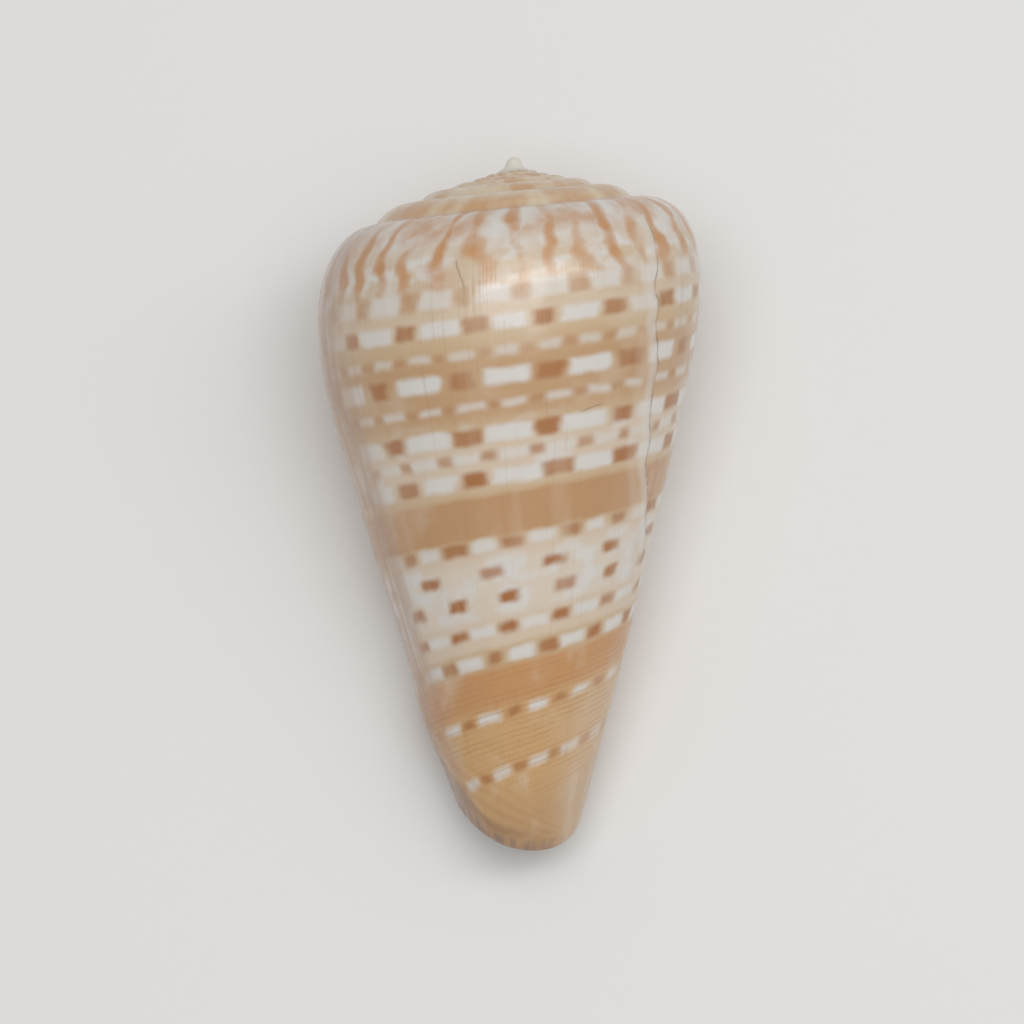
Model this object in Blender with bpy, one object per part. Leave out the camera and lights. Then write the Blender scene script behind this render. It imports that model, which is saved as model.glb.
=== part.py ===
# A cone shell of about six whorls, right-handed, lying on its aperture side.
# Metres, +Z up. The spire points along +Y and the back of the shell looks up.
#
# A place on the shell is given by its turn, its row and, from those, a radius from
# the shell's axis and a depth below the tip of the spire. Turn 0 is the right-hand
# side of the last whorl. Turns grow over the back to the left-hand side (0.5) and
# on to the edge of the lip on the underside.

import math

import bmesh
import bpy
from mathutils import Matrix, Vector

MM = 0.001

# Spire: the suture is a spiral, and the whorls step down along a dished cone.
WHORL_GROWTH = 1.49
SUTURE_RADIUS = 10.03 * MM
SPIRE_RISE = 1.35 * MM
SPIRE_SLOPE = 0.11
SPIRE_DISH = 0.0162 / MM
NIPPLE_SPREAD = 0.85 * MM
SPIRE_LEAN = math.radians(2.0)
LEAN_FROM, LEAN_TO = 8.0 * MM, 26.0 * MM
FIRST_TURN_COUNT = 5

# Shoulder of the last whorl, whose growth slows towards the lip.
SHOULDER_RADIUS = 15.9 * MM
SHOULDER_SLOWING = 0.128
SHOULDER_BLEND = 1.0 * MM
SHOULDER_ROUNDING = 2.6
ROUNDING_CHANGE = 1.1

# Flank: radius at FLANK_DEPTH, its taper, its slight crown and its growth in a turn.
FLANK_DEPTH = 21.2 * MM
FLANK_RADIUS = 14.15 * MM
FLANK_TAPER = 0.255
FLANK_CROWN = 0.00078 / MM
FLANK_GROWTH = 5.3 * MM
COLUMELLA_RADIUS = 1.3 * MM
COLUMELLA_BLEND = 1.4 * MM

# Anterior end: its depth on the right-hand side, the swell over the back and the
# stretch where it draws back towards the lip.
END_DEPTH = 57.3 * MM
END_SWELL = 2.7 * MM
END_DRAW_FROM = 120 / 360
END_DRAW = 54.4 * MM
TIP_DEPTH = 59.0 * MM

# Lip, wall and hollow. The hollow winds back from the lip. It is open along the base
# as far as OPEN_TURN, and closes on the columella from there on, higher by
# HOLLOW_RISE in a turn.
LIP_TURN = 228 / 360
HOLLOW_TURNS = 1.8
OPEN_TURN = -0.05
HOLLOW_DEPTH = 56.8 * MM
HOLLOW_RISE = 16.0 * MM
LIP_WALL = 0.7 * MM
WALL = 1.2 * MM
WALL_THICKENS_OVER = 0.2
LIP_ROUND = 0.35 * MM
LIP_CORNER_SHARE = 0.2

# The smooth first whorl that tops the spire: radius and depth of its rings.
NIPPLE_RINGS = ((1.0 * MM, 1.0 * MM), (0.78 * MM, 0.8 * MM), (0.62 * MM, 0.5 * MM),
                (0.42 * MM, 0.16 * MM), (0.0, 0.0))

# Facets. A direction on the surface is taken over a short step.
STEPS_IN_TURN = 36
TURN_STEP = 0.01
ROW_STEP = 0.5
RAMP_ROWS = 5
SHOULDER_ROWS = 5
FLANK_ROWS = 13

# How the shell settles on a flat surface, and how far its contacts are worn flat.
REST_PITCH = math.radians(12.4)
REST_ROLL = math.radians(3.5)
CONTACT_WEAR = 0.3 * MM

WELD = 0.000002


def suture_radius(turn):
    return SUTURE_RADIUS * WHORL_GROWTH**turn


def spire_depth(radius):
    cone = SPIRE_RISE + SPIRE_SLOPE * radius + SPIRE_DISH * radius**2
    return cone - SPIRE_RISE * math.exp(-radius / NIPPLE_SPREAD)


def shoulder_radius(turn):
    if turn <= 0:
        return SHOULDER_RADIUS * WHORL_GROWTH**turn
    reach = turn * math.log(WHORL_GROWTH) / SHOULDER_SLOWING
    return SHOULDER_RADIUS * (1 + SHOULDER_SLOWING * (1 - math.exp(-reach)))


def smooth_least(first, second, blend):
    near = max(blend - abs(first - second), 0) / blend
    return min(first, second) - near * near * blend / 4


def flank_radius(depth, turn):
    down = depth - FLANK_DEPTH
    line = FLANK_RADIUS - FLANK_TAPER * down - FLANK_CROWN * down**2
    line += FLANK_GROWTH * turn
    return -smooth_least(-line, -COLUMELLA_RADIUS, COLUMELLA_BLEND)


def end_depth(turn):
    swell = END_SWELL * math.sin(math.tau * turn) if 0 < turn < 0.5 else 0
    drawn = max(turn - END_DRAW_FROM, 0)
    return END_DEPTH + swell - END_DRAW * drawn**2


# The shoulder's outline is a quarter of a superellipse that starts at the suture.
# Each whorl is met by the next one where that outline crosses the next suture.
def rounding(turn):
    return SHOULDER_ROUNDING - ROUNDING_CHANGE * max(turn, 0)


def meeting_angle(turn):
    start = SUTURE_RADIUS
    across = (start * WHORL_GROWTH - start) / (SHOULDER_RADIUS - start)
    return math.asin(across ** (rounding(turn) / 2))


def shoulder_height(turn):
    inner = spire_depth(suture_radius(turn))
    outer = spire_depth(suture_radius(turn + 1))
    power = 2 / rounding(turn)
    return (outer - inner) / (1 - math.cos(meeting_angle(turn)) ** power)


def shoulder_place(turn, angle):
    power = 2 / rounding(turn)
    start = suture_radius(turn)
    wide = shoulder_radius(turn) - start
    radius = start + wide * math.sin(angle) ** power
    down = 1 - max(math.cos(angle), 0) ** power
    return radius, spire_depth(start) + shoulder_height(turn) * down


LAST_ROW = RAMP_ROWS + SHOULDER_ROWS + FLANK_ROWS


def outline_place(turn, row, deepest=END_DEPTH * 2):
    """Radius and depth of the shell's outer surface, in rows down to its end."""
    meet = meeting_angle(turn)
    if row <= RAMP_ROWS:
        return shoulder_place(turn, meet * row / RAMP_ROWS)
    row -= RAMP_ROWS
    if row <= SHOULDER_ROWS:
        angle = meet + (math.pi / 2 - meet) * row / SHOULDER_ROWS
        radius, depth = shoulder_place(turn, angle)
    else:
        radius = shoulder_radius(turn)
        top = spire_depth(suture_radius(turn)) + shoulder_height(turn)
        part_way = (row - SHOULDER_ROWS) / FLANK_ROWS
        depth = top + (min(end_depth(turn), deepest) - top) * part_way
    return smooth_least(radius, flank_radius(depth, turn), SHOULDER_BLEND), depth


def point_at(turn, radius, depth):
    angle = math.tau * turn
    across = radius * math.cos(angle)
    fade = min(max((LEAN_TO - depth) / (LEAN_TO - LEAN_FROM), 0), 1)
    fade = fade * fade * (3 - 2 * fade)
    along = across * math.tan(SPIRE_LEAN) * fade - depth
    return Vector((across, along, radius * math.sin(angle)))


def outer_point(turn, row, deepest=END_DEPTH * 2):
    return point_at(turn, *outline_place(turn, row, deepest))


def hollow_depth(turn):
    """How far down the hollow reaches before it closes on the columella."""
    return HOLLOW_DEPTH + HOLLOW_RISE * min(turn - OPEN_TURN, 0)


def inner_point(turn, row):
    """The outer surface moved in by the thickness of the wall."""
    deepest = END_DEPTH * 2 if turn > OPEN_TURN else hollow_depth(turn)
    here = outer_point(turn, row, deepest)
    low, high = max(row - ROW_STEP, RAMP_ROWS + TURN_STEP), min(row + ROW_STEP, LAST_ROW)
    down = outer_point(turn, high, deepest) - outer_point(turn, low, deepest)
    onward = outer_point(turn + TURN_STEP, row, deepest) - here
    inward = down.cross(onward).normalized()
    back = (LIP_TURN - turn) / WALL_THICKENS_OVER
    wall = LIP_WALL + (WALL - LIP_WALL) * min(back, 1)
    return here + inward * wall


def turns_between(first, last):
    count = round(abs(last - first) * STEPS_IN_TURN)
    return [first + (last - first) * step / count for step in range(count + 1)]


def sweep(bm, columns):
    """Extrudes the first column of points through all the others."""
    verts = [bm.verts.new(point) for point in columns[0]]
    edges = [bm.edges.new(pair) for pair in zip(verts, verts[1:])]
    for column in columns[1:]:
        made = set(bmesh.ops.extrude_edge_only(bm, edges=edges)["geom"])
        onward = []
        for vert, point in zip(verts, column):
            grown = next(e.other_vert(vert) for e in vert.link_edges
                         if e.other_vert(vert) in made)
            grown.co = point
            onward.append(grown)
        verts = onward
        edges = [next(e for e in start.link_edges if e.other_vert(start) is end)
                 for start, end in zip(verts, verts[1:])]


def spire_columns():
    first = LIP_TURN - 1 - FIRST_TURN_COUNT
    return [[outer_point(turn, row) for row in range(RAMP_ROWS + 1)]
            for turn in turns_between(first, LIP_TURN - 1)]


def rim_point(turn):
    middle = (outer_point(turn, LAST_ROW) + inner_point(turn, LAST_ROW)) / 2
    return middle - Vector((0, LIP_ROUND, 0))


def hollow_end(turn):
    """Where the wall and the columella meet, below an enclosed part of the hollow."""
    columella = outer_point(turn - 1, LAST_ROW, hollow_depth(turn))
    middle = (inner_point(turn, LAST_ROW) + columella) / 2
    return middle - Vector((0, LIP_ROUND, 0))


# The last whorl from where it comes out from under the lip, round to the lip, back
# along the inside of its wall to the end of the hollow, and then forward again on
# the whorl before it. The last point of a column closes the anterior end.
def whorl_columns():
    back_turn = LIP_TURN - HOLLOW_TURNS
    tip = point_at(0, 0, TIP_DEPTH)
    below_corner = range(RAMP_ROWS + 2, LAST_ROW + 1)
    columns = []
    for turn in turns_between(LIP_TURN - 1, LIP_TURN):
        column = [outer_point(turn, row) for row in range(LAST_ROW + 1)]
        columns.append(column + [rim_point(turn) if turn > OPEN_TURN else tip])
    columns.append(lip_column())
    for turn in turns_between(LIP_TURN, back_turn):
        column = [outer_point(turn - 1, RAMP_ROWS + 1)] * (RAMP_ROWS + 2)
        column += [inner_point(turn, row) for row in below_corner]
        end = rim_point(turn) if turn > OPEN_TURN else hollow_end(turn)
        columns.append(column + [end])
    for turn in turns_between(back_turn - 1, LIP_TURN - 1):
        column = [outer_point(turn, RAMP_ROWS + 1)] * (RAMP_ROWS + 2)
        enclosed = turn + 1 < OPEN_TURN
        deepest = hollow_depth(turn + 1) if enclosed else END_DEPTH * 2
        column += [outer_point(turn, row, deepest) for row in below_corner]
        columns.append(column + [hollow_end(turn + 1) if enclosed else tip])
    return columns


def lip_column():
    """The crest of the lip, between its outer and its inner edge."""
    column = [outer_point(LIP_TURN, 0)]
    for row in range(1, LAST_ROW + 1):
        outer = outer_point(LIP_TURN, row)
        inner = inner_point(LIP_TURN, max(row, RAMP_ROWS + 2))
        if row < RAMP_ROWS + 2:
            corner = outer_point(LIP_TURN - 1, RAMP_ROWS + 1)
            inner = corner.lerp(outer, LIP_CORNER_SHARE)
        ahead = outer_point(LIP_TURN + TURN_STEP, row) - outer_point(LIP_TURN, row)
        column.append((outer + inner) / 2 + ahead.normalized() * LIP_ROUND)
    return column + [rim_point(LIP_TURN)]


def close_apex(bm):
    """Rings that rise from the first whorl to the smooth tip of the spire."""
    edges = [edge for edge in bm.edges if edge.is_boundary
             and max(vert.co.y for vert in edge.verts) > -END_DEPTH / 2]
    for radius, depth in NIPPLE_RINGS:
        made = bmesh.ops.extrude_edge_only(bm, edges=edges)["geom"]
        for vert in (item for item in made if isinstance(item, bmesh.types.BMVert)):
            turn = math.atan2(vert.co.z, vert.co.x) / math.tau
            vert.co = point_at(turn, radius, depth)
        edges = [item for item in made if isinstance(item, bmesh.types.BMEdge)
                 and item.is_boundary]
    bmesh.ops.remove_doubles(bm, verts=bm.verts, dist=WELD)


def settle(bm):
    """Lays the shell down and wears its contacts flat on the plane it rests on."""
    lie = Matrix.Rotation(REST_PITCH, 4, "X") @ Matrix.Rotation(REST_ROLL, 4, "Y")
    bmesh.ops.transform(bm, matrix=lie, verts=bm.verts)
    lowest = min(vert.co.z for vert in bm.verts)
    everything = bm.verts[:] + bm.edges[:] + bm.faces[:]
    bmesh.ops.bisect_plane(bm, geom=everything, dist=WELD,
                           plane_co=(0, 0, lowest + CONTACT_WEAR),
                           plane_no=(0, 0, -1), clear_outer=True)
    open_edges = [edge for edge in bm.edges if edge.is_boundary]
    bmesh.ops.holes_fill(bm, edges=open_edges, sides=0)
    low = Vector(min(vert.co[axis] for vert in bm.verts) for axis in range(3))
    high = Vector(max(vert.co[axis] for vert in bm.verts) for axis in range(3))
    middle = (low + high) / 2
    place = Vector((-middle.x, -middle.y, -low.z))
    bmesh.ops.translate(bm, vec=place, verts=bm.verts)
    return lie, place


def shell_material():
    material = bpy.data.materials.new("cream and tan shell")
    material.use_nodes = True
    shader = material.node_tree.nodes["Principled BSDF"]
    shader.inputs["Base Color"].default_value = (0.62, 0.45, 0.29, 1)
    shader.inputs["Roughness"].default_value = 0.28
    shader.inputs["Metallic"].default_value = 0.0
    return material


def make_shell():
    bm = bmesh.new()
    sweep(bm, spire_columns())
    sweep(bm, whorl_columns())
    bmesh.ops.remove_doubles(bm, verts=bm.verts, dist=WELD)
    bmesh.ops.dissolve_degenerate(bm, dist=WELD, edges=bm.edges)
    close_apex(bm)
    bmesh.ops.holes_fill(bm, edges=[e for e in bm.edges if e.is_boundary], sides=3)
    bmesh.ops.recalc_face_normals(bm, faces=bm.faces)
    lie, place = settle(bm)
    bmesh.ops.triangulate(bm, faces=bm.faces)
    mesh = bpy.data.meshes.new("cone_shell")
    bm.to_mesh(mesh)
    bm.free()
    mesh.shade_smooth()
    mesh.materials.append(shell_material())
    shell = bpy.data.objects.new("cone_shell", mesh)
    bpy.context.scene.collection.objects.link(shell)
    return shell, lie, place


for leftover in list(bpy.data.objects):
    bpy.data.objects.remove(leftover)

shell, lie, place = make_shell()
print("triangles", len(shell.data.polygons), "size", tuple(shell.dimensions),
      "apex at", tuple(lie @ Vector((0, 0, 0)) + place))
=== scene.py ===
import functools
import math
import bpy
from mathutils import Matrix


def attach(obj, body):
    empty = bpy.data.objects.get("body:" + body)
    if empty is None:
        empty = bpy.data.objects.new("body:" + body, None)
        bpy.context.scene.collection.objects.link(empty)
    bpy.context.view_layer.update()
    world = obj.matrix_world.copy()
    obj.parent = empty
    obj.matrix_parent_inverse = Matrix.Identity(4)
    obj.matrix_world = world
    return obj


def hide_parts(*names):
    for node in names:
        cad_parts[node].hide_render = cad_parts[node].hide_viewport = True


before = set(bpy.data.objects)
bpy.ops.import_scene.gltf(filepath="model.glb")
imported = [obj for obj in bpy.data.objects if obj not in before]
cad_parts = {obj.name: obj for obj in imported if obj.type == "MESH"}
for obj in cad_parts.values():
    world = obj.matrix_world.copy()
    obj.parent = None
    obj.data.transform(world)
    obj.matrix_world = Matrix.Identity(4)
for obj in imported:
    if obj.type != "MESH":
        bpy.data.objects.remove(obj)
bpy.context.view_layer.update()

import types

import bmesh
import bpy
from mathutils import Matrix, Vector, noise

# A cone shell lying on its opening. Everything is in metres, one mm is:
mm = 0.001

# The shell's growth, as the solid has it. Turn 0 is the right-hand side, 0.25 the
# middle of the back, 0.5 the left-hand side. A place is a turn, a radius and a depth
# below the tip of the spire.
shellForm = {
    "whorlGrowth": 1.49,          # widening in one turn
    "sutureRadius": 10.03 * mm,   # where the last whorl starts, at turn 0
    "spireRise": 1.35 * mm,
    "spireSlope": 0.11,
    "spireDish": 0.0162 / mm,
    "nippleSpread": 0.85 * mm,
    "spireLean": 2.0,             # degrees
    "leanFrom": 8 * mm,
    "leanTo": 26 * mm,
    "firstTurns": 5,
    "shoulderRadius": 15.9 * mm,
    "shoulderSlowing": 0.128,
    "shoulderBlend": 1 * mm,
    "shoulderRounding": 2.6,
    "roundingChange": 1.1,
    "flankDepth": 21.2 * mm,
    "flankRadius": 14.15 * mm,
    "flankTaper": 0.255,
    "flankCrown": 0.00078 / mm,
    "flankGrowth": 5.3 * mm,
    "columellaRadius": 1.3 * mm,
    "columellaBlend": 1.4 * mm,
    "endDepth": 57.3 * mm,
    "endSwell": 2.7 * mm,
    "endDrawFrom": 120 / 360,
    "endDraw": 54.4 * mm,
    "tipDepth": 59 * mm,
    "lipTurn": 228 / 360,
    "openTurn": -0.05,
    "hollowTurns": 1.8,
    "hollowDepth": 56.8 * mm,
    "hollowRise": 16 * mm,
    "lipWall": 0.7 * mm,
    "wall": 1.2 * mm,
    "wallThickensOver": 0.2,
    "lipRound": 0.35 * mm,
    "restPitch": 12.4,            # degrees
    "restRoll": 3.5,
}

# How finely the surface is made.
fineness = {
    "stepsInTurn": 216,
    "hiddenSteps": 72,            # in a turn, inside the closed part of the hollow
    "rampRows": 9,
    "shoulderRows": 20,
    "flankRows": 150,
    "insideEvery": 4,             # inside, one row for so many outside
    "weld": 0.000002,
}

# Relief of the surface, in millimetres.
surfaceRelief = {
    "growthLines": 0.035,
    "growthWaves": 0.05,
    "cordHeight": 0.022,
    "cordSpacing": 0.98,
    "cordsFrom": 42.0,
    "scarAngle": -44.5,           # degrees from the middle of the back, minus is right
    "scarBends": 18.0,            # mm down, from where it leans away
    "scarLean": -1.02,            # degrees in one mm
    "scarWaver": 5.0,             # degrees
    "scarFineWaver": 3.0,
    "scarHeight": 0.22,
    "scarWidth": 0.42,
    "crackBeside": 0.45,          # right of the ridge
    "crackDepth": 0.12,
    "crackWidth": 0.2,
    "fascioleHeight": 0.45,
    "fascioleFromEnd": 7.0,
    "fascioleLong": 3.6,
}


def s(name):
    return shellForm[name]


lastRow = fineness["rampRows"] + fineness["shoulderRows"] + fineness["flankRows"]
rampRows = fineness["rampRows"]
shoulderRows = fineness["shoulderRows"]


@functools.cache
def sutureRadius(turn):
    return s("sutureRadius") * s("whorlGrowth")**turn


def spireDepth(radius):
    cone = s("spireRise") + s("spireSlope") * radius + s("spireDish") * radius**2
    return cone - s("spireRise") * math.exp(-radius / s("nippleSpread"))


@functools.cache
def shoulderRadius(turn):
    if turn <= 0:
        return s("shoulderRadius") * s("whorlGrowth")**turn
    slowing = s("shoulderSlowing")
    reach = turn * math.log(s("whorlGrowth")) / slowing
    return s("shoulderRadius") * (1 + slowing * (1 - math.exp(-reach)))


def smoothLeast(first, second, blend):
    near = max(blend - abs(first - second), 0) / blend
    return min(first, second) - near * near * blend / 4


def smoothStep(value, low, high):
    share = min(max((value - low) / (high - low), 0), 1)
    return share * share * (3 - 2 * share)


def flankRadius(depth, turn):
    down = depth - s("flankDepth")
    line = s("flankRadius") - s("flankTaper") * down - s("flankCrown") * down**2
    line += s("flankGrowth") * turn
    return -smoothLeast(-line, -s("columellaRadius"), s("columellaBlend"))


def endDepth(turn):
    swell = s("endSwell") * math.sin(math.tau * turn) if 0 < turn < 0.5 else 0
    drawn = max(turn - s("endDrawFrom"), 0)
    return s("endDepth") + swell - s("endDraw") * drawn**2


def rounding(turn):
    return s("shoulderRounding") - s("roundingChange") * max(turn, 0)


@functools.cache
def meetingAngle(turn):
    start = s("sutureRadius")
    across = (start * s("whorlGrowth") - start) / (s("shoulderRadius") - start)
    return math.asin(across ** (rounding(turn) / 2))


@functools.cache
def shoulderHeight(turn):
    inner = spireDepth(sutureRadius(turn))
    outer = spireDepth(sutureRadius(turn + 1))
    return (outer - inner) / (1 - math.cos(meetingAngle(turn)) ** (2 / rounding(turn)))


def shoulderPlace(turn, angle):
    power = 2 / rounding(turn)
    start = sutureRadius(turn)
    radius = start + (shoulderRadius(turn) - start) * math.sin(angle) ** power
    down = 1 - max(math.cos(angle), 0) ** power
    return radius, spireDepth(start) + shoulderHeight(turn) * down


@functools.cache
def outlinePlace(turn, row, deepest=1.0):
    meet = meetingAngle(turn)
    if row <= rampRows:
        return shoulderPlace(turn, meet * row / rampRows)
    row -= rampRows
    if row <= shoulderRows:
        angle = meet + (math.pi / 2 - meet) * row / shoulderRows
        radius, depth = shoulderPlace(turn, angle)
    else:
        radius = shoulderRadius(turn)
        top = spireDepth(sutureRadius(turn)) + shoulderHeight(turn)
        partWay = (row - shoulderRows) / fineness["flankRows"]
        depth = top + (min(endDepth(turn), deepest) - top) * partWay
    return smoothLeast(radius, flankRadius(depth, turn), s("shoulderBlend")), depth


def pointAt(turn, radius, depth):
    angle = math.tau * turn
    across = radius * math.cos(angle)
    fade = smoothStep(s("leanTo") - depth, 0, s("leanTo") - s("leanFrom"))
    along = across * math.tan(math.radians(s("spireLean"))) * fade - depth
    return Vector((across, along, radius * math.sin(angle)))


bandSlope = 2.7 * mm              # that a band drops in a radian, low on the flank
bandSlopeFrom = 25 * mm           # and near the shoulder it drops less


# A band of the pattern keeps its name, its depth on the middle of the back, all the
# way round, and slopes down towards the lip as the whorl grows.
def bandOf(turn, depth):
    angle = math.tau * (turn - 0.25)
    band = depth
    for _ in range(7):
        slope = bandSlope * (1 - math.exp(-max(band, 0) / bandSlopeFrom))
        band = depth - slope * angle
    return band


# The healed break: how far a place is from it, in mm along the whorl, left is plus.
def besideScar(turn, depth):
    down = depth / mm
    waver = noise.noise(Vector((down * 0.16, 1.7, 0.4))) * surfaceRelief["scarWaver"]
    fine = noise.noise(Vector((down * 0.45, 5.7, 0.4)))
    waver += fine * surfaceRelief["scarFineWaver"]
    lean = surfaceRelief["scarLean"] * max(down - surfaceRelief["scarBends"], 0)
    centre = surfaceRelief["scarAngle"] + lean + waver
    radius = 15.5 - 0.24 * max(down - 20, 0)        # of the flank there
    return math.radians(360 * (turn - 0.25) - centre) * radius


# The relief fades out towards a suture, but not at the free edge of the last whorl.
def reliefAt(turn, row, depth, band):
    lip = s("lipTurn")
    fade = 1.0
    if row <= rampRows:
        edge = row / rampRows
        fade = min(1, 6 * edge * (1 - edge))
        if turn > lip - 1:
            free = smoothStep(turn, lip - 1, lip - 0.95)
            fade = max(fade, free * min(1, 6 * edge))
    around = turn * 100
    fine = noise.noise(Vector((around * 2.2, band * 0.05, 3.1)))
    broad = noise.noise(Vector((around * 0.5, band * 0.03, 8.4)))
    height = fine * surfaceRelief["growthLines"] + broad * surfaceRelief["growthWaves"]
    cords = smoothStep(band, surfaceRelief["cordsFrom"], surfaceRelief["cordsFrom"] + 8)
    wave = math.cos(math.tau * band / surfaceRelief["cordSpacing"])
    height += cords * surfaceRelief["cordHeight"] * wave
    if turn > lip - 1 and turn < 0.3:
        aside = besideScar(turn, depth)
        down = smoothStep(depth / mm, 5, 8) * (1 - smoothStep(depth / mm, 34, 42))
        ridge = math.exp(-((aside - 0.2) / surfaceRelief["scarWidth"])**2)
        fromCrack = aside + surfaceRelief["crackBeside"]
        crack = math.exp(-(fromCrack / surfaceRelief["crackWidth"])**2)
        ridge *= surfaceRelief["scarHeight"]
        height += down * (ridge - surfaceRelief["crackDepth"] * crack)
    fromEnd = (endDepth(turn) - depth) / mm
    swell = (fromEnd - surfaceRelief["fascioleFromEnd"]) / surfaceRelief["fascioleLong"]
    side = smoothStep(turn, 0.3, 0.42)
    height += surfaceRelief["fascioleHeight"] * side * math.exp(-swell**2)
    return height * fade * mm


def outerPoint(turn, row, deepest=1.0):
    return pointAt(turn, *outlinePlace(turn, row, deepest))


def hollowDepth(turn):
    return s("hollowDepth") + s("hollowRise") * min(turn - s("openTurn"), 0)


def innerPoint(turn, row):
    deepest = 1.0 if turn > s("openTurn") else hollowDepth(turn)
    here = outerPoint(turn, row, deepest)
    low, high = max(row - 0.5, rampRows + 0.01), min(row + 0.5, lastRow)
    down = outerPoint(turn, high, deepest) - outerPoint(turn, low, deepest)
    onward = outerPoint(turn + 0.01, row, deepest) - here
    inward = down.cross(onward).normalized()
    back = (s("lipTurn") - turn) / s("wallThickensOver")
    return here + inward * (s("lipWall") + (s("wall") - s("lipWall")) * min(back, 1))


layerNames = ("turn", "band", "relief", "aside", "fromEnd")
farAside = 9                      # mm from the break, for all that isn't near it


# A column is one growth line. Each of its points has its turn and its band, which
# the finish reads, the height of the relief, and how far the scar and the end are.
def outerColumn(turn, rows, spire=False):
    column = []
    for row in rows:
        depth = outlinePlace(turn, row)[1]
        band = bandOf(turn, depth) / mm
        if spire:
            band = 4.4 + 1.2 * row / rampRows       # as just below the last suture
        relief = reliefAt(turn, row, depth, band)
        nearScar = -0.1 < turn < 0.3 and not spire
        aside = besideScar(turn, depth) if nearScar else farAside
        fromEnd = (endDepth(turn) - depth) / mm
        column.append((outerPoint(turn, row), turn, band, relief, aside, fromEnd))
    return column


def turnsBetween(first, last, stepsInTurn):
    count = max(round(abs(last - first) * stepsInTurn), 1)
    return [first + (last - first) * step / count for step in range(count + 1)]


# A grid with one line of points for each column, drawn out to the columns' places.
def drawSheet(bm, columns, lining=False):
    faceCount = len(bm.faces)
    verts = bmesh.ops.create_grid(bm, x_segments=len(columns[0]) - 1,
                                  y_segments=len(columns) - 1, size=1)["verts"]
    layers = [bm.verts.layers.float[name] for name in layerNames]
    for vert, place in zip(verts, (place for column in columns for place in column)):
        vert.co = place[0]
        for layer, value in zip(layers, place[1:]):
            vert[layer] = value
    bm.faces.ensure_lookup_table()
    for face in bm.faces[faceCount:]:
        face.material_index = 1 if lining else 0


def rimPoints(turn):
    outer, inner = outerPoint(turn, lastRow), innerPoint(turn, lastRow)
    crest = (outer + inner) / 2 - Vector((0, s("lipRound"), 0))
    side = outer.lerp(inner, 0.12) - Vector((0, s("lipRound") * 0.7, 0))
    back = outer.lerp(inner, 0.88) - Vector((0, s("lipRound") * 0.7, 0))
    return side, crest, back


def hollowEnd(turn):
    columella = outerPoint(turn - 1, lastRow, hollowDepth(turn))
    middle = (innerPoint(turn, lastRow) + columella) / 2
    return middle - Vector((0, s("lipRound"), 0))


tip = pointAt(0, 0, s("tipDepth"))


def outerColumns():
    columns = []
    for turn in turnsBetween(s("lipTurn") - 1, s("lipTurn"), fineness["stepsInTurn"]):
        column = outerColumn(turn, range(lastRow + 1))
        bandEnd = column[-1][2]
        if turn > s("openTurn"):
            side, crest, _ = rimPoints(turn)
        else:
            side, crest = column[-1][0].lerp(tip, 0.5), tip
        column += [(side, turn, bandEnd + 0.3, 0, farAside, -0.2),
                   (crest, turn, bandEnd + 0.6, 0, farAside, -0.4)]
        columns.append(column)
    return columns


def lipColumn():
    lip = s("lipTurn")
    column = []
    for row in range(lastRow + 1):
        outer = outerPoint(lip, row)
        inner = innerPoint(lip, max(row, rampRows + 2))
        if row < rampRows + 2:
            corner = outerPoint(lip - 1, rampRows + 1)
            inner = corner.lerp(outer, 0.2)
        ahead = outerPoint(lip + 0.01, row) - outerPoint(lip, row)
        crest = (outer + inner) / 2 + ahead.normalized() * s("lipRound")
        if row == 0:
            crest = outer
        band = bandOf(lip, outlinePlace(lip, row)[1]) / mm
        column.append((crest, lip, band, 0, farAside, 5))
    side, crest, _ = rimPoints(lip)
    bandEnd = column[-1][2]
    return column + [(side, lip, bandEnd + 0.3, 0, farAside, 0),
                     (crest, lip, bandEnd + 0.6, 0, farAside, 0)]


# Inside, rows are only as dense as the smooth glaze needs: a row repeats the place
# of the next kept one, and merging doubles leaves one point there.
def keptRow(row):
    step = fineness["insideEvery"]
    first = rampRows + 2
    return min(first + step * math.ceil((row - first) / step), lastRow)


def insideColumn(turn, corner, pointOf, ends):
    kept = {}
    for row in range(rampRows + 2, lastRow + 1):
        if keptRow(row) not in kept:
            kept[keptRow(row)] = pointOf(keptRow(row))
    column = [corner] * (rampRows + 2)
    column += [kept[keptRow(row)] for row in range(rampRows + 2, lastRow + 1)]
    return [(point, turn, 0, 0, farAside, 20) for point in column + list(ends)]


def insideColumns():
    lip, openTurn = s("lipTurn"), s("openTurn")
    fine = turnsBetween(lip, lip - 1, fineness["stepsInTurn"])
    fine = fine[:sum(turn > openTurn for turn in fine) + 1]
    deep = turnsBetween(fine[-1], lip - s("hollowTurns"), fineness["hiddenSteps"])
    turns = fine + deep[1:]
    inner, parietal = [], []
    for turn in turns:
        if turn > openTurn:
            _, crest, back = rimPoints(turn)
        else:
            crest = hollowEnd(turn)
            back = innerPoint(turn, lastRow).lerp(crest, 0.5)
        corner = outerPoint(turn - 1, rampRows + 1)
        pointOf = functools.partial(innerPoint, turn)
        inner.append(insideColumn(turn, corner, pointOf, (back, crest)))
    for turn in [turn - 1 for turn in reversed(turns)]:
        enclosed = turn + 1 < openTurn
        deepest = hollowDepth(turn + 1) if enclosed else 1.0
        crest = hollowEnd(turn + 1) if enclosed else tip
        back = outerPoint(turn, lastRow, deepest).lerp(crest, 0.5)
        corner = outerPoint(turn, rampRows + 1)
        pointOf = functools.partial(outerPoint, turn, deepest=deepest)
        parietal.append(insideColumn(turn, corner, pointOf, (back, crest)))
    return inner, parietal


bandScale = 60.0                  # mm of band to one step of the map "bands"
edgeScale = 20.0                  # mm to one step of the map "edges"


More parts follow.
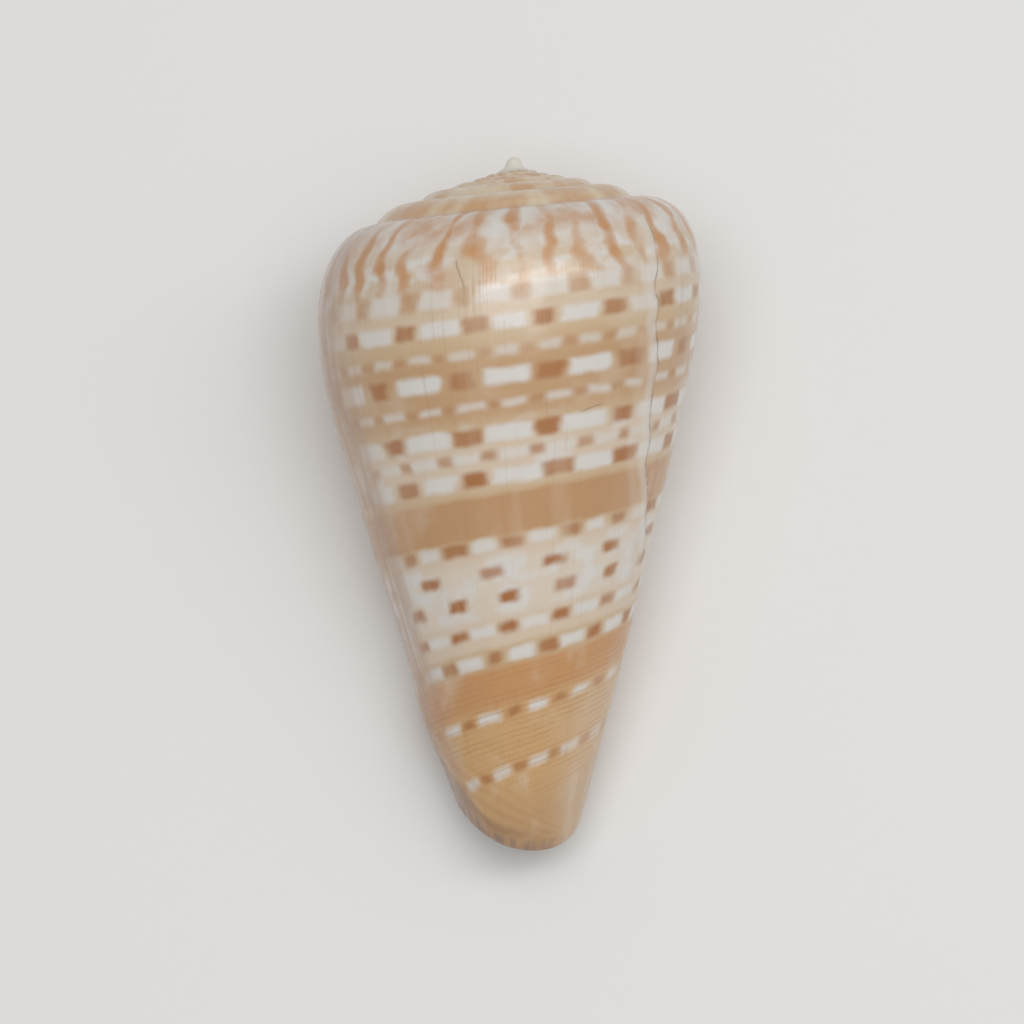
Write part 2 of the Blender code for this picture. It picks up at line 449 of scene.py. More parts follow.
# Each corner of a face keeps the turn and band of its own column, because the two
# sides of a suture belong to different turns.
def mapSurface(bm):
    turn, band, _, aside, fromEnd = [bm.verts.layers.float[name] for name in layerNames]
    bands = bm.loops.layers.uv.new("bands")
    edges = bm.loops.layers.uv.new("edges")
    for face in bm.faces:
        for loop in face.loops:
            vert = loop.vert
            loop[bands].uv = (vert[turn], vert[band] / bandScale)
            loop[edges].uv = (vert[aside] / edgeScale, vert[fromEnd] / edgeScale)


# The tip of the spire, from the first whorl inwards: radius and depth in mm.
nippleRings = ((1.02, 1.02), (0.86, 0.9), (0.72, 0.68), (0.63, 0.46), (0.55, 0.26),
               (0.42, 0.11), (0.24, 0.03), (0.0, 0.0))


def closeApex(bm):
    uv = bm.loops.layers.uv["bands"]
    edges = [edge for edge in bm.edges if edge.is_boundary
             and max(vert.co.y for vert in edge.verts) > -s("endDepth") / 2]
    for radius, depth in nippleRings:
        made = bmesh.ops.extrude_edge_only(bm, edges=edges)["geom"]
        for vert in (item for item in made if isinstance(item, bmesh.types.BMVert)):
            turn = math.atan2(vert.co.z, vert.co.x) / math.tau
            vert.co = pointAt(turn, radius * mm, depth * mm)
            for loop in vert.link_loops:
                loop[uv].uv = (-5, 0)
        edges = [item for item in made if isinstance(item, bmesh.types.BMEdge)
                 and item.is_boundary]
    bmesh.ops.remove_doubles(bm, verts=bm.verts, dist=fineness["weld"])


def fillAndMap(bm, edges, sides):
    maps = [bm.loops.layers.uv[name] for name in ("bands", "edges")]
    filled = bmesh.ops.holes_fill(bm, edges=edges, sides=sides)["faces"]
    for face in filled:
        for loop in face.loops:
            beside = [other for other in loop.vert.link_loops
                      if other.face not in filled]
            for uv in maps:
                loop[uv].uv = beside[0][uv].uv
    return filled


def layDown(bm):
    lie = Matrix.Rotation(math.radians(s("restPitch")), 4, "X")
    lie @= Matrix.Rotation(math.radians(s("restRoll")), 4, "Y")
    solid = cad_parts["cone_shell"].data.vertices
    apex = max((vert.co for vert in solid), key=lambda co: co.y)
    lie = Matrix.Translation(apex) @ lie
    bmesh.ops.transform(bm, matrix=lie, verts=bm.verts)
    everything = bm.verts[:] + bm.edges[:] + bm.faces[:]
    bmesh.ops.bisect_plane(bm, geom=everything, dist=fineness["weld"],
                           plane_co=(0, 0, 0), plane_no=(0, 0, -1), clear_outer=True)
    fillAndMap(bm, [edge for edge in bm.edges if edge.is_boundary], 0)
    return lie


def raiseRelief(bm):
    reliefLayer = bm.verts.layers.float["relief"]
    bm.normal_update()
    raised = [vert.co + vert.normal * vert[reliefLayer] for vert in bm.verts]
    for vert, place in zip(bm.verts, raised):
        vert.co = place


def makeShellMesh():
    bm = bmesh.new()
    for name in layerNames:
        bm.verts.layers.float.new(name)
    firstTurn = s("lipTurn") - 1 - s("firstTurns")
    spireTurns = turnsBetween(firstTurn, s("lipTurn") - 1, fineness["stepsInTurn"])
    drawSheet(bm, [outerColumn(turn, range(rampRows + 1), True) for turn in spireTurns])
    outside = outerColumns()
    lip = lipColumn()
    inner, parietal = insideColumns()
    drawSheet(bm, outside + [lip])
    drawSheet(bm, [lip] + inner + parietal + [outside[0]], lining=True)
    print("sheets drawn", len(bm.faces), "faces")
    mapSurface(bm)
    bmesh.ops.remove_doubles(bm, verts=bm.verts, dist=fineness["weld"])
    bmesh.ops.dissolve_degenerate(bm, dist=fineness["weld"], edges=bm.edges)
    closeApex(bm)
    fillAndMap(bm, [edge for edge in bm.edges if edge.is_boundary], 3)
    bmesh.ops.recalc_face_normals(bm, faces=bm.faces)
    raiseRelief(bm)
    lie = layDown(bm)
    bmesh.ops.triangulate(bm, faces=[face for face in bm.faces if len(face.verts) > 4])
    openEdges = sum(edge.is_boundary for edge in bm.edges)
    print("faces", len(bm.faces), "open edges", openEdges)
    mesh = bpy.data.meshes.new("coneShellSurface")
    bm.to_mesh(mesh)
    bm.free()
    mesh.shade_smooth()
    return mesh, lie


def linear(hexColour):
    channels = []
    for first in (0, 2, 4):
        value = int(hexColour[first:first + 2], 16) / 255
        low = value / 12.92
        channels.append(low if value <= 0.04045 else ((value + 0.055) / 1.055)**2.4)
    return (*channels, 1.0)


# One node with its settings and its inputs: another node's output is linked, and any
# other value is set. It gives one of the node's outputs.
def addNode(tree, kind, *values, at=None, output=0, **settings):
    node = tree.nodes.new("ShaderNode" + kind)
    for name, value in settings.items():
        setattr(node, name, value)
    for place, value in zip(at or range(len(values)), values):
        if isinstance(value, bpy.types.NodeSocket):
            tree.links.new(value, node.inputs[place])
        else:
            node.inputs[place].default_value = value
    return node.outputs[output]


# Settings that many nodes share.
smooth = {"interpolation_type": "SMOOTHSTEP"}
mixing = {"data_type": "RGBA", "at": (0, 6, 7), "output": 2}


shellColours = {
    "white": "DFDAD3",
    "ivory": "DED0BE",
    "cream": "DAC6AE",
    "paleTan": "CFB28C",
    "tan": "C59E74",
    "deepTan": "C29568",
    "orangeTan": "CA945E",
    "yellowTan": "D0A56F",
    "baseTan": "C29A6C",
    "brown": "AA6A2E",
    "flame": "C68C52",
    "tip": "E2DDD0",
    "spire": "DCC6A2",
    "rim": "8F7567",
    "hairline": "96785F",
    "crack": "8A6A50",
    "groove": "A66E38",
    # painted shade of the left side, a greyish pink brown
    "leftEdgeShade": "AE8A74",
    "lining": "EDE6DF",
    "liningTint": "D9C9C4",
}


def tint(name):
    return linear(shellColours[name])


# Ground colour by band, in mm below the tip on the middle of the back.
groundBands = [
    (0.0, "white"), (9.8, "white"), (12.6, "cream"), (15.4, "paleTan"), (17.4, "tan"),
    (21.6, "tan"), (22.8, "paleTan"), (24.6, "cream"), (26.6, "cream"), (28.3, "paleTan"),
    (28.8, "deepTan"), (31.9, "deepTan"), (32.3, "paleTan"), (33.6, "cream"),
    (34.5, "ivory"), (38.6, "ivory"), (39.2, "cream"), (41.2, "cream"), (41.7, "paleTan"),
    (42.9, "paleTan"), (43.5, "orangeTan"), (46.1, "orangeTan"), (46.9, "yellowTan"),
    (49.0, "yellowTan"), (53.0, "yellowTan"), (57.0, "baseTan"),
]

# A spiral row of dashes: brown and white by turns. Angles are in degrees from the
# middle of the back, plus is left. Lengths are in mm along the row.
dashRows = [
    # band, half height, first brown, spacing, brown and white length, their strength
    (11.6, 0.75, 50.0, 17.0, 1.5, 2.9, 0.35, 0.75),
    (14.1, 0.62, 56.0, 21.3, 2.1, 3.3, 0.85, 0.95),
    (16.5, 0.35, 24.0, 13.0, 1.1, 2.0, 0.35, 0.6),
    (18.65, 0.68, 46.5, 27.6, 2.3, 3.9, 0.85, 1.0),
    (20.95, 0.3, 37.0, 13.8, 1.1, 2.2, 0.4, 0.7),
    (23.45, 0.66, 46.5, 27.6, 2.3, 4.0, 0.9, 1.0),
    (25.25, 0.4, 44.0, 16.3, 1.2, 2.4, 0.65, 0.75),
    (27.1, 0.62, 45.5, 28.4, 2.4, 3.8, 0.95, 1.0),
    (32.75, 0.48, 53.0, 23.5, 1.9, 1.9, 0.85, 0.9),
    (35.1, 0.42, 44.3, 28.0, 1.7, 0.0, 0.95, 0.0),
    (37.4, 0.5, 56.5, 24.2, 1.6, 0.0, 1.0, 0.0),
    (39.95, 0.42, 34.5, 25.0, 1.5, 2.4, 0.95, 1.0),
    (42.4, 0.5, 46.0, 27.2, 1.4, 2.4, 0.95, 1.0),
    (47.3, 0.36, 40.0, 28.3, 1.1, 1.9, 0.85, 1.0),
    (52.2, 0.42, 37.0, 26.0, 1.1, 1.6, 0.7, 0.75),
]

# Fine scratches: from an angle and a band to another, and half the width in mm.
scratches = [
    (18.6, 8.25, 15.0, 11.3, 0.09),
    (-18.0, 22.7, -28.2, 22.2, 0.07),
]

pattern = {
    "waver": 0.44,                # mm that a band wanders
    "sway": 4.0,                  # degrees that a dash wanders
    "flameAngle": 53.4,           # degrees, where one flame lies
    "flameSpacing": 10.6,         # degrees from one to the next
    "flamesTo": 11.8,
    "grooveSpacing": 0.49,        # mm, of the spiral grooves of the base
    "groovesFrom": 41.0,
    "degree": 0.29,               # mm round the shoulder to one degree
    "ringSpacing": 1.6,           # of the growth rings of the base
    "ringsMeet": -55.0,           # degrees, where they run together
}


# Each dash has a cell of the row, and its own chance length, shift and strength.
def dashRowGroup():
    group = bpy.data.node_groups.new("dashRow", "ShaderNodeTree")
    names = ("angle", "band", "ragged", "centre", "half", "first", "spacing",
             "brownLong", "whiteLong", "degreeLong")
    for name in names:
        group.interface.new_socket(name, in_out="INPUT", socket_type="NodeSocketFloat")
    for name in ("brown", "white"):
        group.interface.new_socket(name, in_out="OUTPUT", socket_type="NodeSocketFloat")
    given = group.nodes.new("NodeGroupInput").outputs
    node = functools.partial(addNode, group)

    fromFirst = node("Math", given["first"], given["angle"], operation="SUBTRACT")
    place = node("Math", fromFirst, given["spacing"], operation="DIVIDE")
    cell = node("Math", place, operation="ROUND")
    seed = node("Math", cell, 7.31, given["centre"], operation="MULTIPLY_ADD")
    chance = node("TexWhiteNoise", seed, at=(1,), output=1, noise_dimensions="1D")
    chances = node("SeparateColor", chance).node.outputs
    shift = node("MapRange", chances[0], 0.0, 1.0, -0.03, 0.03)
    fromCell = node("Math", place, cell, operation="SUBTRACT")
    shifted = node("Math", fromCell, shift, operation="ADD")
    aside = node("Math", shifted, operation="ABSOLUTE")
    cellLong = node("Math", given["spacing"], given["degreeLong"], operation="MULTIPLY")
    fromBrown = node("Math", aside, cellLong, operation="MULTIPLY")
    beforeWhite = node("Math", 0.5, aside, operation="SUBTRACT")
    fromWhite = node("Math", beforeWhite, cellLong, operation="MULTIPLY")
    brownShare = node("MapRange", chances[1], 0.0, 1.0, 0.4, 0.6)
    brownHalf = node("Math", given["brownLong"], brownShare, operation="MULTIPLY")
    whiteShare = node("MapRange", chances[2], 0.0, 1.0, 0.42, 0.58)
    whiteHalf = node("Math", given["whiteLong"], whiteShare, operation="MULTIPLY")

    across = node("Math", given["band"], given["centre"], operation="SUBTRACT")
    across = node("Math", across, operation="ABSOLUTE")
    over = node("Math", across, given["half"], operation="SUBTRACT")
    over = node("Math", given["ragged"], 0.12, over, operation="MULTIPLY_ADD")
    onRow = node("MapRange", over, -0.32, 0.36, 1.0, 0.0, **smooth)

    def softDash(fromMiddle, halfLong):
        beyond = node("Math", fromMiddle, halfLong, operation="SUBTRACT")
        beyond = node("Math", given["ragged"], 0.22, beyond, operation="MULTIPLY_ADD")
        return node("MapRange", beyond, -0.42, 0.5, onRow, 0.0, **smooth)

    strength = node("MapRange", chances[0], 0.0, 0.63, 0.78, 1.0)
    brown = node("Math", softDash(fromBrown, brownHalf), strength, operation="MULTIPLY")
    result = group.nodes.new("NodeGroupOutput")
    group.links.new(brown, result.inputs["brown"])
    group.links.new(softDash(fromWhite, whiteHalf), result.inputs["white"])
    return group


# Where a point of the surface lies: its turn, its angle in degrees from the middle of
# the back, its band, and its distance in mm from the break and from the end.
def surfacePlaces(node):
    here = types.SimpleNamespace()
    bands = node("SeparateXYZ", node("UVMap", uv_map="bands")).node.outputs
    edges = node("SeparateXYZ", node("UVMap", uv_map="edges")).node.outputs
    here.turn = bands[0]
    here.rawAngle = node("Math", here.turn, 360.0, -90.0, operation="MULTIPLY_ADD")
    here.rawBand = node("Math", bands[1], bandScale, operation="MULTIPLY")
    here.fromBreak = node("Math", edges[0], edgeScale, operation="MULTIPLY")
    here.fromEnd = node("Math", edges[1], edgeScale, operation="MULTIPLY")

    # Soft spots by chance: so many in a turn, and so many in a mm of band.
    def spots(inTurn, inBand, detail, seed):
        along = node("Math", here.turn, inTurn, operation="MULTIPLY")
        down = node("Math", here.rawBand, inBand, operation="MULTIPLY")
        place = node("CombineXYZ", along, down, seed)
        return node("TexNoise", place, 1.0, detail, at=("Vector", "Scale", "Detail"))

    here.spots = spots
    here.wander = node("MapRange", spots(34.0, 0.6, 1.0, 0.0), 0.0, 1.0, -0.5, 0.5)
    here.band = node("Math", here.wander, pattern["waver"], here.rawBand,
                     operation="MULTIPLY_ADD")
    sway = node("MapRange", spots(20.0, 0.5, 1.0, 4.0), 0.0, 1.0, -0.5, 0.5)
    here.angle = node("Math", sway, pattern["sway"], here.rawAngle,
                      operation="MULTIPLY_ADD")
    return here


def paintGround(node, here):
    place = node("Math", here.band, bandScale, operation="DIVIDE")
    colour = node("ValToRGB", place)
    stops = colour.node.color_ramp.elements
    while len(stops) > 1:
        stops.remove(stops[-1])
    for number, (band, name) in enumerate(groundBands):
        stop = stops.new(band / bandScale) if number else stops[0]
        stop.color = tint(name)
    cloud = node("MapRange", here.spots(16.0, 0.22, 3.0, 9.0), 0.5, 0.75, 0.0, 0.45,
                 **smooth)
    return node("Mix", cloud, colour, tint("cream"), **mixing)


# Flames from the suture over the shoulder, which fade into a tan cloud, and the
# blotches of the spire.
def paintFlames(node, here, colour):
    bend = node("MapRange", here.spots(13.0, 0.2, 2.0, 2.0), 0.0, 1.0, -10.0, 10.0)
    bent = node("Math", here.rawAngle, bend, operation="ADD")
    fromFlame = node("Math", bent, pattern["flameAngle"], operation="SUBTRACT")
    wave = node("Math", fromFlame, math.tau / pattern["flameSpacing"],
                operation="MULTIPLY")
    wave = node("Math", wave, operation="COSINE")
    patchy = node("MapRange", here.spots(22.0, 0.3, 3.0, 6.0), 0.0, 1.0, -2.5, 2.5)
    wave = node("Math", wave, patchy, operation="ADD")
    flame = node("MapRange", wave, -0.4, 1.4, **smooth)
    flame = node("MapRange", here.rawBand, pattern["flamesTo"] - 3.0,
                 pattern["flamesTo"] + 1.5, flame, 0.0, **smooth)
    cloud = node("MapRange", here.spots(26.0, 0.5, 3.0, 30.0), 0.36, 0.58, 0.0, 0.75,
                 **smooth)
    cloud = node("MapRange", here.rawBand, 6.0, 8.8, 0.0, cloud, **smooth)
    cloud = node("MapRange", here.rawBand, 12.0, 13.6, cloud, 0.0, **smooth)
    colour = node("Mix", cloud, colour, tint("paleTan"), **mixing)
    joined = node("MapRange", here.spots(20.0, 0.3, 3.0, 33.0), 0.4, 0.62, 0.0, 0.8,
                  **smooth)
    joined = node("MapRange", here.rawBand, 5.8, 8.2, joined, 0.0, **smooth)
    flame = node("Math", flame, joined, operation="MAXIMUM")
    spireEnds = s("lipTurn") - 1
    onSpire = node("MapRange", here.turn, spireEnds - 0.02, spireEnds, 0.8, 0.0,
                   **smooth)
    colour = node("Mix", onSpire, colour, tint("spire"), **mixing)
    blotch = node("MapRange", here.spots(15.0, 0.5, 3.0, 37.0), 0.4, 0.62, 0.0, 0.75,
                  **smooth)
    flame = node("MapRange", here.turn, spireEnds - 0.02, spireEnds, blotch, flame,
                 **smooth)
    flame = node("Math", flame, 0.92, operation="MULTIPLY")
    return node("Mix", flame, colour, tint("flame"), **mixing)


# The rows of dashes, and the white clouds that join some of them.
def paintDashes(node, here, colour):
    group = dashRowGroup()
    ragged = node("MapRange", here.spots(75.0, 0.9, 3.0, 60.0), 0.0, 1.0, -1.2, 1.2)
    brown = white = 0.0
    for band, half, first, spacing, brownLong, whiteLong, deep, bright in dashRows:
        radius = 17.0 - 0.26 * max(band - 14, 0)    # of the flank at that row
        dash = node("Group", here.angle, here.band, ragged, band, half, first, spacing,
                    brownLong, whiteLong, math.radians(radius), node_tree=group)
        deepened = node("Math", dash, deep, operation="MULTIPLY")
        brown = node("Math", brown, deepened, operation="MAXIMUM")
        if whiteLong:
            brightened = node("Math", dash.node.outputs["white"], bright,
                              operation="MULTIPLY")
            white = node("Math", white, brightened, operation="MAXIMUM")
    # Painted shade: the dashes dim on the shaded left side.
    shadeDimming = node("MapRange", here.oldSide, 0.0, 1.0, 1.0, 0.4)
    brown = node("Math", brown, shadeDimming, operation="MULTIPLY")
    white = node("Math", white, shadeDimming, operation="MULTIPLY")
    cloud = node("MapRange", here.spots(24.0, 0.42, 2.0, 50.0), 0.44, 0.6, **smooth)
    cloud = node("MapRange", here.band, 33.2, 34.4, 0.0, cloud, **smooth)
    cloud = node("MapRange", here.band, 38.0, 39.4, cloud, 0.0, **smooth)
    white = node("Math", white, cloud, operation="MAXIMUM")
    cloud = node("MapRange", here.spots(20.0, 0.3, 2.0, 53.0), 0.53, 0.68, 0.0, 0.8,
                 **smooth)
    cloud = node("MapRange", here.band, 21.4, 23.4, 0.0, cloud, **smooth)
    cloud = node("MapRange", here.band, 27.0, 28.4, cloud, 0.0, **smooth)
    white = node("Math", white, cloud, operation="MAXIMUM")
    colour = node("Mix", white, colour, tint("white"), **mixing)
    return node("Mix", brown, colour, tint("brown"), **mixing)


# Painted shade on the left side, where it turns from the light; pale streaks along the
# growth lines, and hairlines.
def paintShadeAndGrowth(node, here, colour):
    paintedLeftShade = node("MapRange", here.spots(60.0, 0.05, 3.0, 64.0), 0.35, 0.65, 0.3, 0.8,
                **smooth)
    paintedLeftShade = node("Math", paintedLeftShade, here.oldSide, operation="MULTIPLY")
    colour = node("Mix", paintedLeftShade, colour, tint("leftEdgeShade"), **mixing)
    streak = node("MapRange", here.spots(30.0, 0.07, 3.0, 12.0), 0.5, 0.75, 0.0, 0.28,
                  **smooth)
    streak = node("MapRange", here.rawBand, 38.0, 48.0, streak, 0.0, **smooth)
    colour = node("Mix", streak, colour, tint("cream"), **mixing)
    hair = node("MapRange", here.spots(260.0, 0.03, 0.0, 15.0), 0.6, 0.8, 0.0, 0.14,
                **smooth)
    hair = node("MapRange", here.spots(40.0, 0.4, 2.0, 16.0), 0.42, 0.6, 0.0, hair,
                **smooth)
    return node("Mix", hair, colour, tint("hairline"), **mixing)


# The healed break is a pale ridge with a dark crack on its right.
def paintBreak(node, here, colour):
    long = node("MapRange", here.rawBand, 5.5, 9.0, **smooth)
    long = node("MapRange", here.rawBand, 34.0, 44.0, long, 0.0, **smooth)
    marks = (
        # mm from the break, full to, gone at, strength, colour
        (1.3, 0.3, 1.7, 0.3, "cream"),
        (0.35, 0.1, 0.8, 0.45, "white"),
        (-0.42, 0.0, 0.2, 0.7, "crack"),
    )
    gape = node("MapRange", here.spots(10.0, 0.45, 2.0, 25.0), 0.36, 0.56, 0.15, 0.9,
                **smooth)
    for middle, fullTo, goneAt, strength, name in marks:
        across = node("Math", here.fromBreak, middle, operation="SUBTRACT")
        across = node("Math", across, operation="ABSOLUTE")
        mark = node("MapRange", across, fullTo, goneAt, strength, 0.0, **smooth)
        mark = node("Math", mark, long, operation="MULTIPLY")
        if name == "crack":
            mark = node("Math", mark, gape, operation="MULTIPLY")
        colour = node("Mix", mark, colour, tint(name), **mixing)
    return colour


def paintScratches(node, here, colour):
    degree = pattern["degree"]
    for fromAngle, fromBand, toAngle, toBand, wide in scratches:
        reach = Vector(((toAngle - fromAngle) * degree, toBand - fromBand))
        leanX, leanY = reach.normalized()
        onward = node("Math", here.rawAngle, degree, -fromAngle * degree,
                      operation="MULTIPLY_ADD")
        down = node("Math", here.rawBand, fromBand, operation="SUBTRACT")
        along = node("Math", onward, leanX, operation="MULTIPLY")
        along = node("Math", down, leanY, along, operation="MULTIPLY_ADD")
        beside = node("Math", onward, -leanY, operation="MULTIPLY")
        beside = node("Math", down, leanX, beside, operation="MULTIPLY_ADD")
        beside = node("Math", here.wander, 0.5, beside, operation="MULTIPLY_ADD")
        beside = node("Math", beside, operation="ABSOLUTE")
        mark = node("MapRange", beside, wide * 0.3, wide * 1.6, 0.45, 0.0, **smooth)
        mark = node("MapRange", along, 0.0, 0.6, 0.0, mark, **smooth)
        mark = node("MapRange", along, reach.length - 0.8, reach.length, mark, 0.0,
                    **smooth)
        colour = node("Mix", mark, colour, tint("crack"), **mixing)
    return colour


# The base is paler on the right, with spiral grooves, the growth rings that cross them,
# and a worn rim of greyish pink with a brown line inside it; the line darkens to the
# left, where it is partly painted shade.
def paintBase(node, here, colour):
    paler = node("MapRange", here.rawAngle, -45.0, 0.0, 0.4, 0.0, **smooth)
    paler = node("MapRange", here.rawBand, 44.0, 50.0, 0.0, paler, **smooth)
    colour = node("Mix", paler, colour, tint("cream"), **mixing)

    even = node("Math", here.wander, 0.1, here.rawBand, operation="MULTIPLY_ADD")
    wave = node("Math", even, math.tau / pattern["grooveSpacing"], operation="MULTIPLY")
    wave = node("Math", wave, operation="COSINE")
    groove = node("MapRange", wave, 0.1, 1.0, **smooth)
    groove = node("MapRange", here.rawBand, pattern["groovesFrom"],
                  pattern["groovesFrom"] + 6, 0.0, groove, **smooth)
    groove = node("MapRange", here.spots(14.0, 0.9, 3.0, 40.0), 0.35, 0.6, 0.0, groove,
                  **smooth)
    groove = node("MapRange", here.fromEnd, 3.0, 9.0, 0.0, groove, **smooth)
    share = node("Math", groove, 0.3, operation="MULTIPLY")
    colour = node("Mix", share, colour, tint("groove"), **mixing)

    spread = node("Math", here.rawAngle, 0.01, -0.01 * pattern["ringsMeet"],
                  operation="MULTIPLY_ADD")
    spread = node("Math", spread, 0.05, operation="MAXIMUM")
    ring = node("Math", here.fromEnd, spread, operation="DIVIDE")
    ring = node("Math", here.wander, 0.5, ring, operation="MULTIPLY_ADD")
    wave = node("Math", ring, math.tau / pattern["ringSpacing"], operation="MULTIPLY")
    wave = node("Math", wave, operation="COSINE")
    ringed = node("MapRange", wave, -0.8, 1.0, 0.0, 0.15, **smooth)
    ringed = node("MapRange", ring, 4.0, 9.0, ringed, 0.0, **smooth)
    ringed = node("MapRange", here.rawAngle, -42.0, -5.0, 0.0, ringed, **smooth)
    colour = node("Mix", ringed, colour, tint("groove"), **mixing)

    past = node("Math", here.turn, 0.36, operation="SUBTRACT")
    past = node("Math", past, 0.0, operation="MAXIMUM")
    past = node("Math", past, 0.13, operation="MINIMUM")
    rise = node("Math", past, 1.5, operation="POWER")
    wide = node("Math", rise, -105.0, here.fromEnd, operation="MULTIPLY_ADD")
    wide = node("Math", here.wander, 0.3, wide, operation="MULTIPLY_ADD")
    worn = node("MapRange", here.turn, 0.1, 0.3, **smooth)
    across = node("Math", wide, 1.2, operation="SUBTRACT")
    across = node("Math", across, operation="ABSOLUTE")
    line = node("MapRange", across, 0.0, 0.9, 0.45, 0.0, **smooth)
    # Painted shade: the line grows darker towards the left of the middle of the back.
    left = node("MapRange", here.rawAngle, 0.0, 50.0, 0.5, 1.3, **smooth)
    line = node("Math", line, left, operation="MULTIPLY")
    line = node("Math", line, worn, operation="MULTIPLY")
    colour = node("Mix", line, colour, tint("crack"), **mixing)
    rim = node("MapRange", wide, 0.4, 1.0, 0.85, 0.0, **smooth)
    rim = node("Math", rim, worn, operation="MULTIPLY")
    patchy = node("Math", rim, 0.35, operation="MULTIPLY")
    rim = node("MapRange", here.spots(38.0, 0.3, 3.0, 45.0), 0.36, 0.58, patchy, rim,
               **smooth)
    return node("Mix", rim, colour, tint("rim"), **mixing)


# Aragonite, the shell's own mineral, worn to a gloss: a milky ground under a clear
# polish, with the pigment in it and fine growth lines over it.
def polishedAragonite():
    material = bpy.data.materials.new("polishedAragonite")
    material.use_nodes = True
    tree = material.node_tree
    shader = tree.nodes["Principled BSDF"]
    node = functools.partial(addNode, tree)
    here = surfacePlaces(node)
    # Painted shade: the left side, from 48 to 74 degrees off the middle of the back, gone
    # again from 100 to 130.
    oldSide = node("MapRange", here.rawAngle, 48.0, 74.0, **smooth)
    here.oldSide = node("MapRange", here.rawAngle, 100.0, 130.0, oldSide, 0.0, **smooth)

    colour = paintGround(node, here)
    colour = paintFlames(node, here, colour)
    colour = paintDashes(node, here, colour)
    colour = paintShadeAndGrowth(node, here, colour)
    colour = paintBreak(node, here, colour)
    colour = paintScratches(node, here, colour)
    colour = paintBase(node, here, colour)
    nearTip = node("MapRange", here.rawBand, 1.0, 4.0, 1.0, 0.0, **smooth)
    colour = node("Mix", nearTip, colour, tint("tip"), **mixing)
    tree.links.new(colour, shader.inputs["Base Color"])

    shader.inputs["IOR"].default_value = 1.6
    shader.inputs["Coat Weight"].default_value = 0.6
    shader.inputs["Coat Roughness"].default_value = 0.05
    shader.inputs["Coat IOR"].default_value = 1.5
    rough = node("MapRange", here.spots(90.0, 0.9, 3.0, 20.0), 0.3, 0.7, 0.4, 0.52,
                 **smooth)
    tree.links.new(rough, shader.inputs["Roughness"])

    lines = here.spots(420.0, 0.12, 2.0, 18.0)      # growth lines 0.2 mm apart
    bump = node("Bump", 0.5, 0.05 * mm, lines, at=("Strength", "Distance", "Height"))
    tree.links.new(bump, shader.inputs["Normal"])
    tree.links.new(bump, shader.inputs["Coat Normal"])
    return material


# The glaze inside the mouth: smooth white aragonite with a faint rosy cast.
def lipGlaze():
    material = bpy.data.materials.new("lipGlaze")
    material.use_nodes = True
    tree = material.node_tree
    shader = tree.nodes["Principled BSDF"]
    node = functools.partial(addNode, tree)
    place = node("TexCoord", output="Object")
    cloud = node("TexNoise", place, 160.0, 3.0, at=("Vector", "Scale", "Detail"))
    share = node("MapRange", cloud, 0.4, 0.7, 0.0, 0.6, **smooth)
    colour = node("Mix", share, tint("lining"), tint("liningTint"), **mixing)
    tree.links.new(colour, shader.inputs["Base Color"])
    rough = node("MapRange", cloud, 0.3, 0.7, 0.18, 0.28, **smooth)
    tree.links.new(rough, shader.inputs["Roughness"])
    shader.inputs["IOR"].default_value = 1.6
    return material


def makeShell():
    mesh, lie = makeShellMesh()
    mesh.materials.append(polishedAragonite())
    mesh.materials.append(lipGlaze())
    shell = bpy.data.objects.new("coneShellSurface", mesh)
    bpy.context.scene.collection.objects.link(shell)
    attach(shell, "root")
    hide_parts("cone_shell")
    print("shell made", len(mesh.polygons), "faces")
    return shell, lie


studio = {
    "floorColour": "EDECEA",
    "worldStrength": 0.38,
    "fieldWidth": 89.2 * mm,      # the width that the picture takes in
    "lens": 200.0,
    "cameraTilt": 2.0,            # degrees that the spire leans to the camera
    "cameraRoll": 2.0,
    "centreRight": -0.131 * mm,   # the picture's centre from the tip of the spire
    "centreUp": -30.92 * mm,
    "shineTurn": 0.232,           # where the window shines
    "shineRow": 21,
    "windowAway": 0.5,            # metres
    "paneSize": (0.085, 0.6),
    "paneAside": 0.065,           # the middle of a pane from the middle of the window
    "paneWatts": 0.36,
    "overheadPlace": (0.02, 0.1, 0.62),             # right, up and towards the camera
    "overheadSize": (0.5, 0.5),
    "overheadWatts": 1.56,
}


def makeFloor():
    bm = bmesh.new()
    bmesh.ops.create_grid(bm, x_segments=1, y_segments=1, size=1.5)
    mesh = bpy.data.meshes.new("floor")
    bm.to_mesh(mesh)
    bm.free()
    floor = bpy.data.objects.new("floor", mesh)
    bpy.context.scene.collection.objects.link(floor)
    material = bpy.data.materials.new("paleCard")
    material.use_nodes = True
    shader = material.node_tree.nodes["Principled BSDF"]
    shader.inputs["Base Color"].default_value = linear(studio["floorColour"])
    shader.inputs["Roughness"].default_value = 0.85
    mesh.materials.append(material)


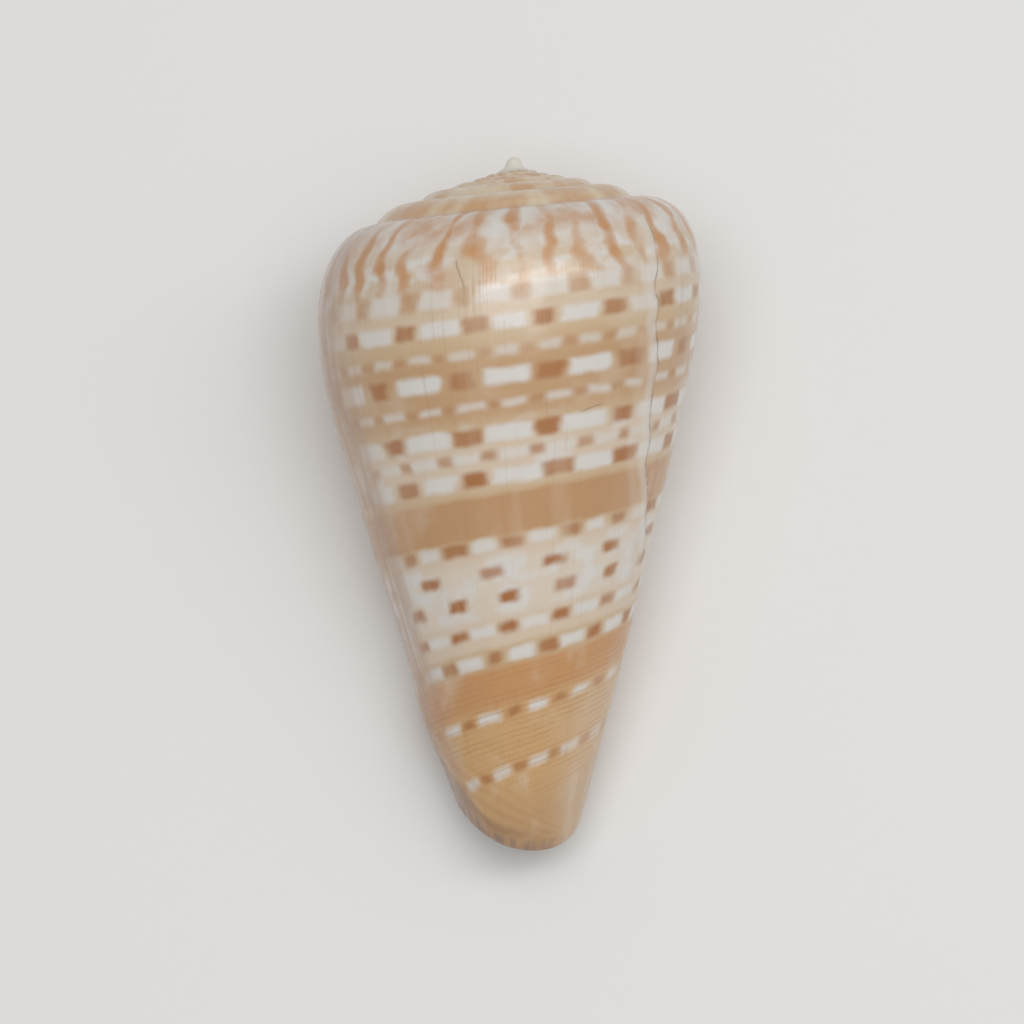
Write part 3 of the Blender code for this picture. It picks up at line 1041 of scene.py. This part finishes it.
def viewAxes(lie):
    tilt, roll = math.radians(studio["cameraTilt"]), math.radians(studio["cameraRoll"])
    across = Vector((1, 0, 0))
    along = Vector((0, math.cos(tilt), -math.sin(tilt)))
    right = math.cos(roll) * across - math.sin(roll) * along
    up = math.sin(roll) * across + math.cos(roll) * along
    turned = lie.to_3x3()
    right, up = turned @ right, turned @ up
    return right, up, right.cross(up)


def makeCamera(lie):
    right, up, towards = viewAxes(lie)
    apex = lie.translation
    centre = apex + right * studio["centreRight"] + up * studio["centreUp"]
    data = bpy.data.cameras.new("camera")
    data.lens = studio["lens"]
    data.sensor_width = 36.0
    distance = studio["lens"] / data.sensor_width * studio["fieldWidth"]
    camera = bpy.data.objects.new("camera", data)
    rotation = Matrix((right, up, towards)).transposed().to_4x4()
    camera.matrix_world = Matrix.Translation(centre + towards * distance) @ rotation
    bpy.context.scene.collection.objects.link(camera)
    bpy.context.scene.camera = camera
    return centre, right, up, towards


def makeLight(name, place, target):
    data = bpy.data.lights.new(name, "AREA")
    data.shape = "RECTANGLE"
    data.size, data.size_y = studio[name + "Size"]
    data.energy = studio[name + "Watts"]
    light = bpy.data.objects.new(name, data)
    light.location = place
    light.rotation_euler = (target - place).to_track_quat("-Z", "Y").to_euler()
    bpy.context.scene.collection.objects.link(light)


# Where the window shines on the shoulder, and which way the surface looks there.
def shinePlace(lie):
    turn, row = studio["shineTurn"], studio["shineRow"]
    here = outerPoint(turn, row)
    down = outerPoint(turn, row + 1) - here
    onward = outerPoint(turn + 0.005, row) - here
    return lie @ here, (lie.to_3x3() @ onward.cross(down)).normalized()


def makeStudio(lie):
    makeFloor()
    centre, right, up, towards = makeCamera(lie)
    glint, across = shinePlace(lie)
    mirrored = 2 * across.dot(towards) * across - towards
    window = glint + mirrored * studio["windowAway"]
    for side in (-1, 1):
        makeLight("pane", window + right * side * studio["paneAside"], glint)
    aside, above, away = studio["overheadPlace"]
    overhead = centre + towards * away + up * above + right * aside
    makeLight("overhead", overhead, centre)
    world = bpy.data.worlds.new("studio")
    bpy.context.scene.world = world
    world.use_nodes = True
    background = world.node_tree.nodes["Background"]
    background.inputs[0].default_value = linear("F4F4F5")
    background.inputs[1].default_value = studio["worldStrength"]
    bpy.context.scene.view_settings.view_transform = "Standard"
    print("studio made")


shell, lie = makeShell()
makeStudio(lie)
